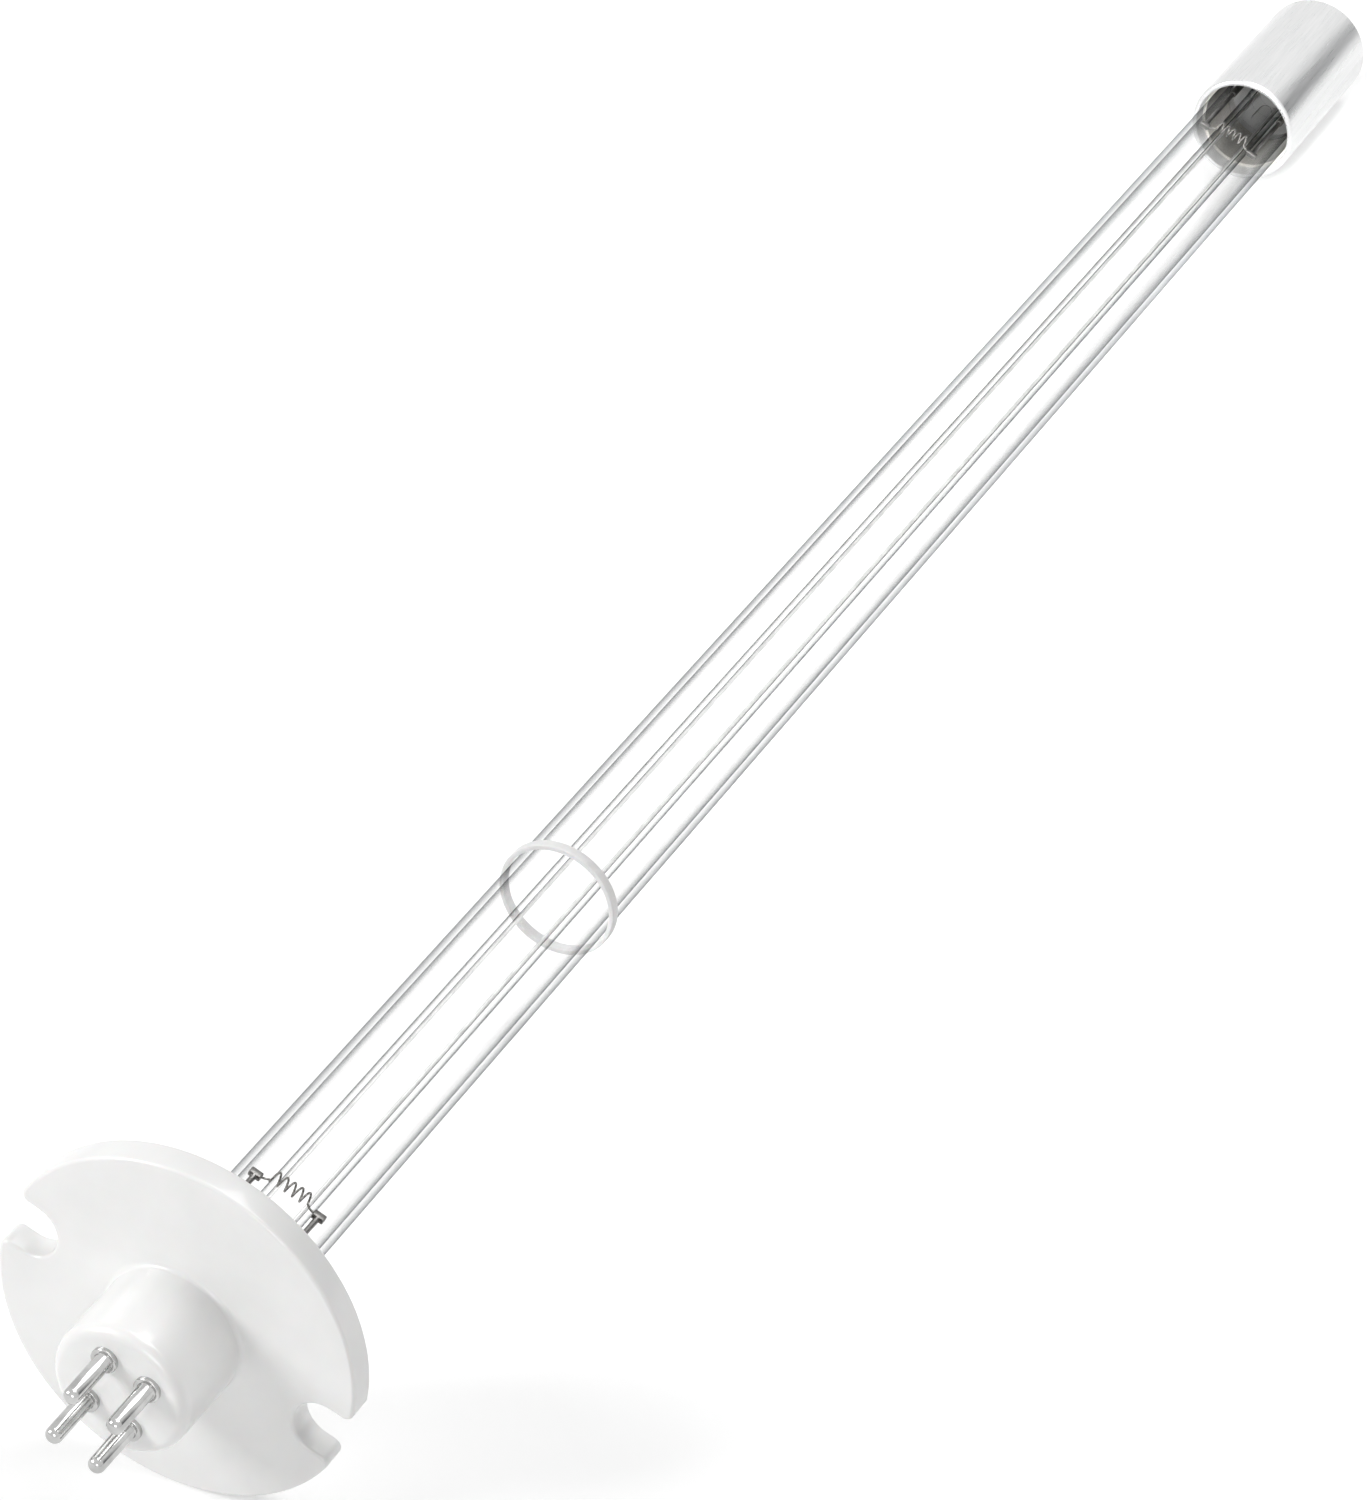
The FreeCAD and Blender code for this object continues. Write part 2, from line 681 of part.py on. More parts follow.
sub_parts.append(make_return_wire("return_wire_right", 1))
sub_parts.append(make_crimp_sleeve("crimp_sleeve_left", -1))
sub_parts.append(make_crimp_sleeve("crimp_sleeve_right", 1))
sub_parts.append(make_end_cap())
sub_parts.append(make_tube_ring())

doc.recompute()
lying = rest_placement()
reach = [piece.Shape.transformed(lying.toMatrix(), True).optimalBoundingBox() for piece in sub_parts]
middle_x = (min(box.XMin for box in reach) + max(box.XMax for box in reach)) / 2
middle_y = (min(box.YMin for box in reach) + max(box.YMax for box in reach)) / 2
lying.Base = lying.Base - FreeCAD.Vector(middle_x, middle_y, 0)
for piece in sub_parts:
    piece.Placement = lying
doc.recompute()

for feature in doc.Objects:
    if "Invalid" in feature.State or "Error" in feature.State:
        raise RuntimeError("failed feature: " + feature.Name)
os.makedirs("parts", exist_ok=True)
for piece in sub_parts:
    shape = piece.Shape
    if shape.isNull() or not shape.isValid():
        raise RuntimeError("bad solid: " + piece.Label)
    shape.exportStep("parts/%s.step" % piece.Label)
    print(piece.Label, len(shape.Solids), round(shape.Volume, 3))
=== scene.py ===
import bpy
import math
from mathutils import Matrix, Vector


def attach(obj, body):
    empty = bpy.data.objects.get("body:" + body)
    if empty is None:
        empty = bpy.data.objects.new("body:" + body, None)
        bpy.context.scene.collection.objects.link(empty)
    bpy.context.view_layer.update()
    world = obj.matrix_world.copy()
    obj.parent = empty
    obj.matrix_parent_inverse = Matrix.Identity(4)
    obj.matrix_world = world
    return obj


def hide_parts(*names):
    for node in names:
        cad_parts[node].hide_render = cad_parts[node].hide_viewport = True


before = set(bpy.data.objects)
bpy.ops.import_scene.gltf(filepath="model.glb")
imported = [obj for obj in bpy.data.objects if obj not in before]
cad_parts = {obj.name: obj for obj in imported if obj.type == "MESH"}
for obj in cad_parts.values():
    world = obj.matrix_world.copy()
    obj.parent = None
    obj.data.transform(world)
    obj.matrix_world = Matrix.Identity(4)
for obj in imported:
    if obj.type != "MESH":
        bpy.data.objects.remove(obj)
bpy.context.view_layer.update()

# Every length is in millimetres along and about the lamp's own axis, until a piece is laid down.
# X, the distance, runs from the pin side of the flange towards the cap. Y is across and Z is up.
MM = 0.001
FLANGE_RADIUS = 25.37
FLANGE_THICKNESS = 4.2
FLANGE_BORE_RADIUS = 9.0
FLANGE_EDGE = 1.0
NOTCH_WIDTH = 8.0
NOTCH_DEPTH = 7.3
NOTCH_LIP = 1.2
NECK_RADIUS = 9.5
NECK_LENGTH = 13.3
NECK_EDGE = 1.5
COLLAR_RADIUS = 10.8
COLLAR_LENGTH = 12.0
COLLAR_EDGE = 0.8
FLANGE_FILLET = 0.7
SOCKET_RADIUS = 8.5
SOCKET_EDGE = 0.3
CHAMBER_RADIUS = 6.5
TUBE_SEAT = 2.4
PIN_WALL = 4.0

PIN_PLACES = [(-3.175, 3.96), (3.175, 3.96), (-3.175, -3.96), (3.175, -3.96)]
PIN_RADIUS = 1.175
PIN_GAP = 0.05
PIN_LENGTH = 8.5
PIN_TIP = 0.95
PIN_COLLAR_RADIUS = 1.8
PIN_COLLAR_LENGTH = 0.6
PIN_END = -NECK_LENGTH + PIN_WALL + 3.0
PIN_BORE_RADIUS = 0.6
PIN_BORE_DEPTH = 2.4
WIRE_IN_PIN = 2.37

TUBE_RADIUS = 8.0
TUBE_WALL = 1.0
TUBE_END = 386.0
RETURN_RADIUS = 3.5
RETURN_WALL = 0.9
RETURN_START = 8.0
RETURN_END = 388.0
STEM_THICKNESS = 3.0
STEM_STARTS = {"base_stem": 12.0, "cap_stem": 383.0}
STEM_GAP = 0.1
BEAD_RADIUS = 0.9
BEAD_HEIGHT = 1.3
NUB_RADIUS = 1.3
NUB_LENGTH = 5.0
NUB_UP = -5.25

POST_ACROSS = 4.886
POST_UP = 3.296
POST_RADIUS = 0.4
POST_END = 396.0
LUG_HALF = (0.55, 0.9, 0.45)
FILAMENT_PLACES = {"base_filament": 26.2, "cap_filament": 361.0}
COIL_HEIGHT = 4.85
COIL_RADIUS = 0.85
COIL_PITCH = 1.15
COIL_TURNS = 5
SLEEVE_START = 392.5
SLEEVE_END = 396.5
SLEEVE_RADIUS = 1.15
SLEEVE_BORE_RADIUS = 0.85

CAP_START = 371.5
CAP_END = 410.0
CAP_RADIUS = 9.55
CAP_WALL = 0.95
RING_START = 103.4
RING_WIDTH = 1.6
RING_RADIUS = 8.9
RING_BORE_RADIUS = 8.15

# How many flat sides stand for a large round, and how far a cutter reaches past what it cuts
ROUND_SIDES = 128
CUT_PAST = 1.0

# How the lamp lies: rolled about its axis, then leaned until the cap's rim touches the table
REST_ROLL = math.radians(22.0)
REST_LEAN = math.radians(2.2375)
LAMP_ORIGIN = Vector((-194.0148, 0.0, 25.5173))


def lying_matrix():
    lean = Matrix.Rotation(REST_LEAN, 4, "Y")
    roll = Matrix.Rotation(REST_ROLL, 4, "X")
    return Matrix.Translation(LAMP_ORIGIN * MM) @ lean @ roll @ Matrix.Scale(MM, 4)


LYING = lying_matrix()


def linear(hex_colour):
    """An sRGB hex colour as the linear colour that a shader takes."""
    channels = []
    for start in (1, 3, 5):
        value = int(hex_colour[start:start + 2], 16) / 255
        if value <= 0.04045:
            channels.append(value / 12.92)
        else:
            channels.append(((value + 0.055) / 1.055) ** 2.4)
    return (channels[0], channels[1], channels[2], 1.0)


# Materials

def new_material(name):
    material = bpy.data.materials.new(name)
    material.use_nodes = True
    material.node_tree.nodes.clear()
    return material


def add(owner, kind, settings=None, values=None, links=None, stops=()):
    """Add one node to a material or world: settings are its own properties, values its plain
    sockets, links its inputs, and stops the (place, colour) pairs of its colour ramp.
    """
    node = owner.node_tree.nodes.new(kind)
    for name, value in (settings or {}).items():
        setattr(node, name, value)
    for name, value in (values or {}).items():
        node.inputs[name].default_value = value
    for name, output in (links or {}).items():
        owner.node_tree.links.new(output, node.inputs[name])
    for number, (place, colour) in enumerate(stops):
        elements = node.color_ramp.elements
        element = elements[number] if number < len(elements) else elements.new(1.0)
        element.position = place
        element.color = linear(colour)
    return node


def finish_material(material, shader):
    add(material, "ShaderNodeOutputMaterial", links={"Surface": shader})
    return material


def glazed_ceramic():
    """Steatite, pressed and glazed: off-white, glossy, with a faint waviness under the glaze."""
    material = new_material("glazed_steatite")
    place = add(material, "ShaderNodeTexCoord").outputs["Object"]
    # clouding about 9 mm across
    cloud = add(material, "ShaderNodeTexNoise", values={"Scale": 110.0, "Detail": 3.0},
                links={"Vector": place})
    colour = add(material, "ShaderNodeValToRGB", links={"Fac": cloud.outputs["Fac"]},
                 stops=[(0.3, "#F3F3F2"), (0.7, "#F9F9F8")])
    # glaze ripple about 2 mm across
    ripple = add(material, "ShaderNodeTexNoise", values={"Scale": 420.0, "Detail": 2.0},
                 links={"Vector": place})
    bump = add(material, "ShaderNodeBump", values={"Strength": 0.06, "Distance": 0.0003},
               links={"Height": ripple.outputs["Fac"]})
    shader = add(material, "ShaderNodeBsdfPrincipled",
                 values={"Roughness": 0.32, "IOR": 1.54, "Coat Weight": 0.6,
                         "Coat Roughness": 0.08, "Subsurface Weight": 0.08,
                         "Subsurface Scale": 0.001},
                 links={"Base Color": colour.outputs["Color"], "Normal": bump.outputs["Normal"]})
    return finish_material(material, shader.outputs["BSDF"])


def nickel(name, colour_dark, colour_light, roughness):
    """Nickel: bright metal, slightly stained, with fine turning or drawing marks."""
    material = new_material(name)
    place = add(material, "ShaderNodeTexCoord").outputs["Object"]
    # stains about 3 mm across
    stain = add(material, "ShaderNodeTexNoise", values={"Scale": 350.0, "Detail": 2.0},
                links={"Vector": place})
    colour = add(material, "ShaderNodeValToRGB", links={"Fac": stain.outputs["Fac"]},
                 stops=[(0.35, colour_dark), (0.65, colour_light)])
    # marks about 0.5 mm apart along the lamp
    marks = add(material, "ShaderNodeTexWave", settings={"bands_direction": "X"},
                values={"Scale": 640.0, "Distortion": 0.6, "Detail": 1.0},
                links={"Vector": place})
    bump = add(material, "ShaderNodeBump", values={"Strength": 0.02, "Distance": 0.00005},
               links={"Height": marks.outputs["Fac"]})
    shader = add(material, "ShaderNodeBsdfPrincipled",
                 values={"Metallic": 1.0, "Roughness": roughness},
                 links={"Base Color": colour.outputs["Color"], "Normal": bump.outputs["Normal"]})
    return finish_material(material, shader.outputs["BSDF"])


def quartz_glass(name, clear_kind, clear_values, near_edge, edge):
    """Clear fused quartz: invisible face on, greyer towards the edges, where the eye looks along
    the wall.
    """
    material = new_material(name)
    place = add(material, "ShaderNodeTexCoord").outputs["Object"]
    # the lamp is seen well along its length, so even its middle faces away by a third to a half
    facing = add(material, "ShaderNodeLayerWeight", values={"Blend": 0.5}).outputs["Facing"]
    tint = add(material, "ShaderNodeValToRGB", links={"Fac": facing},
               stops=[(0.62, "#FFFFFF"), (0.74, "#ECECEC"), (0.88, near_edge), (1.0, edge)])
    clear = add(material, clear_kind, values=clear_values, links={"Color": tint.outputs["Color"]})
    # drawing waves, about 15 mm apart
    draw = add(material, "ShaderNodeTexNoise", values={"Scale": 65.0, "Detail": 1.0},
               links={"Vector": place})
    bump = add(material, "ShaderNodeBump", values={"Strength": 0.01, "Distance": 0.0002},
               links={"Height": draw.outputs["Fac"]})
    gloss = add(material, "ShaderNodeBsdfGlossy", values={"Roughness": 0.03},
                links={"Normal": bump.outputs["Normal"]})
    # share of light that the polished face mirrors, more at the edges
    mirror = add(material, "ShaderNodeMapRange",
                 values={"From Min": 0.65, "From Max": 1.0, "To Min": 0.003, "To Max": 0.08},
                 links={"Value": facing})
    wall = add(material, "ShaderNodeMixShader",
               links={0: mirror.outputs["Result"], 1: clear.outputs["BSDF"],
                      2: gloss.outputs["BSDF"]})
    # light on its way to other pieces passes freely: clear glass throws next to no shadow
    path = add(material, "ShaderNodeLightPath")
    free = add(material, "ShaderNodeBsdfTransparent")
    shader = add(material, "ShaderNodeMixShader",
                 links={0: path.outputs["Is Shadow Ray"], 1: wall.outputs["Shader"],
                        2: free.outputs["BSDF"]})
    return finish_material(material, shader.outputs["Shader"])


def tungsten():
    """Tungsten wire with an oxide emitter coat: dark grey, dusted white in places."""
    material = new_material("coated_tungsten_wire")
    place = add(material, "ShaderNodeTexCoord").outputs["Object"]
    # dust in specks of about 0.4 mm
    coat = add(material, "ShaderNodeTexNoise", values={"Scale": 2600.0, "Detail": 3.0},
               links={"Vector": place})
    colour = add(material, "ShaderNodeValToRGB", links={"Fac": coat.outputs["Fac"]},
                 stops=[(0.35, "#4C4B49"), (0.6, "#A3A19D")])
    metal = add(material, "ShaderNodeMapRange",
                values={"From Min": 0.4, "From Max": 0.65, "To Min": 0.8, "To Max": 0.1},
                links={"Value": coat.outputs["Fac"]})
    shader = add(material, "ShaderNodeBsdfPrincipled", values={"Roughness": 0.5},
                 links={"Base Color": colour.outputs["Color"],
                        "Metallic": metal.outputs["Result"]})
    return finish_material(material, shader.outputs["BSDF"])


def satin_aluminium():
    """Deep-drawn aluminium cup, satin: pale, with fine drawing lines along its length."""
    material = new_material("satin_drawn_aluminium")
    place = add(material, "ShaderNodeTexCoord").outputs["Object"]
    # drawing lines about 0.3 mm apart round the cup, long along the lamp
    stretch = add(material, "ShaderNodeMapping", values={"Scale": (40.0, 3300.0, 3300.0)},
                  links={"Vector": place})
    lines = add(material, "ShaderNodeTexNoise", values={"Scale": 1.0, "Detail": 2.0},
                links={"Vector": stretch.outputs["Vector"]})
    rough = add(material, "ShaderNodeMapRange",
                values={"From Min": 0.3, "From Max": 0.7, "To Min": 0.26, "To Max": 0.34},
                links={"Value": lines.outputs["Fac"]})
    colour = add(material, "ShaderNodeValToRGB", links={"Fac": lines.outputs["Fac"]},
                 stops=[(0.3, "#DFE0E0"), (0.7, "#E9E9E9")])
    bump = add(material, "ShaderNodeBump", values={"Strength": 0.02, "Distance": 0.00005},
               links={"Height": lines.outputs["Fac"]})
    shader = add(material, "ShaderNodeBsdfPrincipled", values={"Metallic": 1.0},
                 links={"Base Color": colour.outputs["Color"],
                        "Roughness": rough.outputs["Result"], "Normal": bump.outputs["Normal"]})
    return finish_material(material, shader.outputs["BSDF"])


def matt_aluminium():
    """Inside of the drawn cup, left as it came from the press: pale and matt."""
    material = new_material("matt_inner_aluminium")
    place = add(material, "ShaderNodeTexCoord").outputs["Object"]
    # dull patches about 3 mm across
    patches = add(material, "ShaderNodeTexNoise", values={"Scale": 330.0, "Detail": 3.0},
                  links={"Vector": place})
    colour = add(material, "ShaderNodeValToRGB", links={"Fac": patches.outputs["Fac"]},
                 stops=[(0.3, "#F0F0EF"), (0.7, "#F8F8F7")])
    shader = add(material, "ShaderNodeBsdfPrincipled", values={"Metallic": 0.1, "Roughness": 0.6},
                 links={"Base Color": colour.outputs["Color"]})
    return finish_material(material, shader.outputs["BSDF"])


def ring_ptfe():
    """Support ring, moulded white PTFE: soft sheen, slightly waxy."""
    material = new_material("moulded_ptfe")
    place = add(material, "ShaderNodeTexCoord").outputs["Object"]
    # waxy clouding about 1.5 mm across
    cloud = add(material, "ShaderNodeTexNoise", values={"Scale": 700.0, "Detail": 3.0},
                links={"Vector": place})
    colour = add(material, "ShaderNodeValToRGB", links={"Fac": cloud.outputs["Fac"]},
                 stops=[(0.3, "#E4E4E4"), (0.7, "#EEEEEE")])
    bump = add(material, "ShaderNodeBump", values={"Strength": 0.08, "Distance": 0.0001},
               links={"Height": cloud.outputs["Fac"]})
    shader = add(material, "ShaderNodeBsdfPrincipled",
                 values={"Roughness": 0.45, "IOR": 1.38, "Subsurface Weight": 0.1,
                         "Subsurface Scale": 0.0008},
                 links={"Base Color": colour.outputs["Color"], "Normal": bump.outputs["Normal"]})
    return finish_material(material, shader.outputs["BSDF"])


def lamp_cement():
    """Basing cement, cast in place: chalky off-white with a fine grain."""
    material = new_material("basing_cement")
    place = add(material, "ShaderNodeTexCoord").outputs["Object"]
    # grain of about 0.3 mm
    grain = add(material, "ShaderNodeTexNoise", values={"Scale": 3000.0, "Detail": 4.0},
                links={"Vector": place})
    colour = add(material, "ShaderNodeValToRGB", links={"Fac": grain.outputs["Fac"]},
                 stops=[(0.3, "#D9D6CE"), (0.7, "#ECEAE4")])
    bump = add(material, "ShaderNodeBump", values={"Strength": 0.5, "Distance": 0.0001},
               links={"Height": grain.outputs["Fac"]})
    shader = add(material, "ShaderNodeBsdfPrincipled", values={"Roughness": 0.9},
                 links={"Base Color": colour.outputs["Color"], "Normal": bump.outputs["Normal"]})
    return finish_material(material, shader.outputs["BSDF"])


CERAMIC = glazed_ceramic()
PIN_NICKEL = nickel("bright_nickel_plate", "#B2B2B1", "#CACAC9", 0.1)
POST_NICKEL = nickel("drawn_nickel_wire", "#5F5E5C", "#82817F", 0.28)
LEAD_NICKEL = nickel("bright_nickel_lead", "#DADAD9", "#ECECEB", 0.3)
SLEEVE_NICKEL = nickel("rolled_nickel_sleeve", "#A5A39E", "#BDBBB6", 0.25)
# The renderer stops a path after 8 transparent surfaces, so only the outer tube is transparent.
# The glass inside it refracts with an index of 1: a thin wall hardly shifts what is behind it.
QUARTZ = quartz_glass("clear_fused_quartz", "ShaderNodeBsdfTransparent", {},
                      "#C6C7C8", "#A2A4A5")
INNER_QUARTZ = quartz_glass("clear_fused_quartz_inside", "ShaderNodeBsdfRefraction",
                            {"Roughness": 0.0, "IOR": 1.0}, "#A9ABAC", "#7E8081")
TUNGSTEN = tungsten()
ALUMINIUM = satin_aluminium()
INNER_ALUMINIUM = matt_aluminium()
PTFE = ring_ptfe()
CEMENT = lamp_cement()


# Modelling steps

def deselect():
    if bpy.context.mode != "OBJECT":
        bpy.ops.object.mode_set(mode="OBJECT")
    bpy.ops.object.select_all(action="DESELECT")


def only(piece):
    deselect()
    piece.select_set(True)
    bpy.context.view_layer.objects.active = piece


def apply_placing(piece):
    only(piece)
    bpy.ops.object.transform_apply(location=True, rotation=True, scale=True)
    return piece


def arc(centre, radius, start, end, steps):
    """Points of a rounded corner in an outline, angles in degrees from its first axis."""
    points = []
    for number in range(steps + 1):
        angle = math.radians(start + (end - start) * number / steps)
        points.append((centre[0] + radius * math.cos(angle), centre[1] + radius * math.sin(angle)))
    return points


def draw_outline(name, corners, closed):
    """Draw edges from corner to corner, by extruding one point, and stay in edit mode."""
    deselect()
    bpy.ops.mesh.primitive_plane_add(size=1.0, location=(0, 0, 0))
    piece = bpy.context.object
    piece.name = name
    piece.data.name = name
    bpy.ops.object.mode_set(mode="EDIT")
    bpy.ops.mesh.select_mode(type="VERT")
    bpy.ops.mesh.select_all(action="SELECT")
    bpy.ops.mesh.merge(type="CENTER")
    bpy.ops.mesh.select_all(action="SELECT")
    bpy.ops.transform.translate(value=corners[0])
    following = corners[1:] + corners[:1] if closed else corners[1:]
    for before, after in zip(corners, following):
        step = tuple(new - old for old, new in zip(before, after))
        bpy.ops.mesh.extrude_region_move(TRANSFORM_OT_translate={"value": step})
    bpy.ops.mesh.select_all(action="SELECT")
    bpy.ops.mesh.remove_doubles(threshold=1e-4)
    bpy.ops.mesh.select_all(action="SELECT")
    return piece


def close_mesh():
    """Turn all faces outwards and leave edit mode."""
    bpy.ops.mesh.select_all(action="SELECT")
    bpy.ops.mesh.normals_make_consistent(inside=False)
    bpy.ops.object.mode_set(mode="OBJECT")


def spin_outline(name, outline, sides):
    """Turn an outline of (distance, radius) pairs about the lamp's axis.

    An outline that leaves the axis and comes back to it is left open there, any other is closed.
    """
    corners = [(distance, 0, radius) for distance, radius in outline]
    piece = draw_outline(name, corners, closed=outline[0][1] > 0)
    bpy.ops.mesh.spin(steps=sides, angle=2 * math.pi, center=(0, 0, 0), axis=(1, 0, 0),
                      dupli=False)
    bpy.ops.mesh.select_all(action="SELECT")
    bpy.ops.mesh.remove_doubles(threshold=3e-3)
    bpy.ops.mesh.dissolve_degenerate(threshold=1e-5)
    close_mesh()
    return piece


def plate_from_outline(name, outline, start, end):
    """Fill a closed outline of (across, up) points and extrude it along the lamp."""
    corners = [(start, across, up) for across, up in outline]
    piece = draw_outline(name, corners, closed=True)
    bpy.ops.mesh.edge_face_add()
    bpy.ops.mesh.extrude_region_move(TRANSFORM_OT_translate={"value": (end - start, 0, 0)})
    close_mesh()
    return piece


def cylinder_along(distance, across, up, radius, length, sides):
    """Round bar along the lamp from this distance."""
    deselect()
    bpy.ops.mesh.primitive_cylinder_add(
        vertices=sides, radius=radius, depth=length, rotation=(0, math.pi / 2, 0),
        location=(distance + length / 2, across, up))
    return apply_placing(bpy.context.object)


def box_between(low, high):
    deselect()
    centre = [(a + b) / 2 for a, b in zip(low, high)]
    bpy.ops.mesh.primitive_cube_add(size=1.0, location=centre)
    piece = bpy.context.object
    piece.scale = [b - a for a, b in zip(low, high)]
    return apply_placing(piece)


def wire_along(name, points, radius):
    """Round wire on a smooth curve through the lamp, with closed ends, as a mesh."""
    deselect()
    curve = bpy.data.curves.new(name, "CURVE")
    curve.dimensions = "3D"
    curve.bevel_depth = radius
    curve.bevel_resolution = 6
    curve.use_fill_caps = True
    curve.resolution_u = 8
    spline = curve.splines.new("NURBS")
    spline.points.add(len(points) - 1)
    for point, place in zip(spline.points, points):
        point.co = (place[0], place[1], place[2], 1.0)
    spline.order_u = 3
    spline.use_endpoint_u = True
    piece = bpy.data.objects.new(name, curve)
    bpy.context.scene.collection.objects.link(piece)
    only(piece)
    bpy.ops.object.convert(target="MESH")
    piece = bpy.context.object
    bpy.ops.object.mode_set(mode="EDIT")
    bpy.ops.mesh.select_all(action="SELECT")
    bpy.ops.mesh.remove_doubles(threshold=1e-4)
    close_mesh()
    return piece


def combine(piece, tool, operation):
    """Join or cut a piece with another, which is used up."""
    only(piece)
    modifier = piece.modifiers.new(operation.lower(), "BOOLEAN")
    modifier.operation = operation
    modifier.solver = "MANIFOLD"
    modifier.object = tool
    bpy.ops.object.modifier_apply(modifier=modifier.name)
    bpy.data.objects.remove(tool)


def round_edges(piece, width, segments, sharper_than):
    """Round the edges whose faces meet at more than this many degrees."""
    only(piece)
    modifier = piece.modifiers.new("rounded_edges", "BEVEL")
    modifier.width = width
    modifier.segments = segments
    modifier.limit_method = "ANGLE"
    modifier.angle_limit = math.radians(sharper_than)
    bpy.ops.object.modifier_apply(modifier=modifier.name)


def smooth(piece, angle):
    """Shade smoothly across edges of less than this many degrees."""
    only(piece)
    bpy.ops.object.shade_smooth_by_angle(angle=math.radians(angle))


def copied(piece, name, across, up):
    """The same piece once more, moved across and up."""
    twin = piece.copy()
    twin.data = piece.data.copy()
    twin.name = name
    twin.data.name = name
    bpy.context.scene.collection.objects.link(twin)
    twin.location = (0, across, up)
    return apply_placing(twin)


def lay_down(piece, material, node):
    """Move a finished piece to where the lamp lies and give it its finish."""
    only(piece)
    piece.matrix_world = LYING @ piece.matrix_world
    apply_placing(piece)
    piece.data.materials.clear()
    piece.data.materials.append(material)
    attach(piece, "root")
    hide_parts(node)


# Ceramic base

def flange_outline():
    """The flange seen along the lamp, as (across, up) points: a disc with two notches, all corners
    at their mouths rounded.
    """
    rim_steps, lip_steps, notch_steps = 80, 10, 20
    half = NOTCH_WIDTH / 2
    inner = FLANGE_RADIUS - NOTCH_DEPTH + half
    lip_up = half + NOTCH_LIP
    lip_across = math.sqrt((FLANGE_RADIUS - NOTCH_LIP) ** 2 - lip_up ** 2)
    turn = math.degrees(math.atan2(lip_up, lip_across))
    outline = arc((0, 0), FLANGE_RADIUS, turn, 180 - turn, rim_steps)
    outline += arc((-lip_across, lip_up), NOTCH_LIP, 180 - turn, 270, lip_steps)[1:]
    outline += arc((-inner, 0), half, 90, -90, notch_steps)
    outline += arc((-lip_across, -lip_up), NOTCH_LIP, 90, 180 + turn, lip_steps)
    outline += arc((0, 0), FLANGE_RADIUS, 180 + turn, 360 - turn, rim_steps)[1:]
    outline += arc((lip_across, -lip_up), NOTCH_LIP, 360 - turn, 450, lip_steps)[1:]
    outline += arc((inner, 0), half, 270, 90, notch_steps)
    outline += arc((lip_across, lip_up), NOTCH_LIP, 270, 360 + turn, lip_steps)[:-1]
    return outline


def make_ceramic_base():
    """Notched flange, neck and collar in one, with rounded glazed edges."""
    base = plate_from_outline("flange", flange_outline(), 0, FLANGE_THICKNESS)
    bore = cylinder_along(-CUT_PAST, 0, 0, FLANGE_BORE_RADIUS, FLANGE_THICKNESS + 2 * CUT_PAST,
                          ROUND_SIDES)
    combine(base, bore, "DIFFERENCE")
    round_edges(base, FLANGE_EDGE, 6, sharper_than=50)

    in_flange = 1.0  # where the neck goes over into the collar, inside the flange
    collar_end = FLANGE_THICKNESS + COLLAR_LENGTH
    fillet, edge = FLANGE_FILLET, COLLAR_EDGE
    outline = [(-NECK_LENGTH, 0.0)]
    outline += arc((-NECK_LENGTH + NECK_EDGE, NECK_RADIUS - NECK_EDGE), NECK_EDGE, 180, 90, 8)
    outline += arc((-fillet, NECK_RADIUS + fillet), fillet, 270, 360, 6)
    outline += [(in_flange, NECK_RADIUS + fillet), (in_flange, COLLAR_RADIUS + fillet)]
    outline += arc((FLANGE_THICKNESS + fillet, COLLAR_RADIUS + fillet), fillet, 180, 270, 6)
    outline += arc((collar_end - edge, COLLAR_RADIUS - edge), edge, 90, 0, 6)
    edge = SOCKET_EDGE
    outline += arc((collar_end - edge, SOCKET_RADIUS + edge), edge, 0, -90, 4)
    outline += [(TUBE_SEAT, SOCKET_RADIUS), (TUBE_SEAT, CHAMBER_RADIUS)]
    outline += [(-NECK_LENGTH + PIN_WALL, CHAMBER_RADIUS), (-NECK_LENGTH + PIN_WALL, 0.0)]
    body = spin_outline("neck_and_collar", outline, ROUND_SIDES)
    combine(base, body, "UNION")
    for across, up in PIN_PLACES:
        hole = cylinder_along(-NECK_LENGTH - CUT_PAST, across, up, PIN_RADIUS + PIN_GAP,
                              PIN_WALL + 2 * CUT_PAST, 32)
        combine(base, hole, "DIFFERENCE")
    base.name = "glazed_base"
    base.data.name = "glazed_base"
    smooth(base, 32)
    lay_down(base, CERAMIC, "ceramic_base")


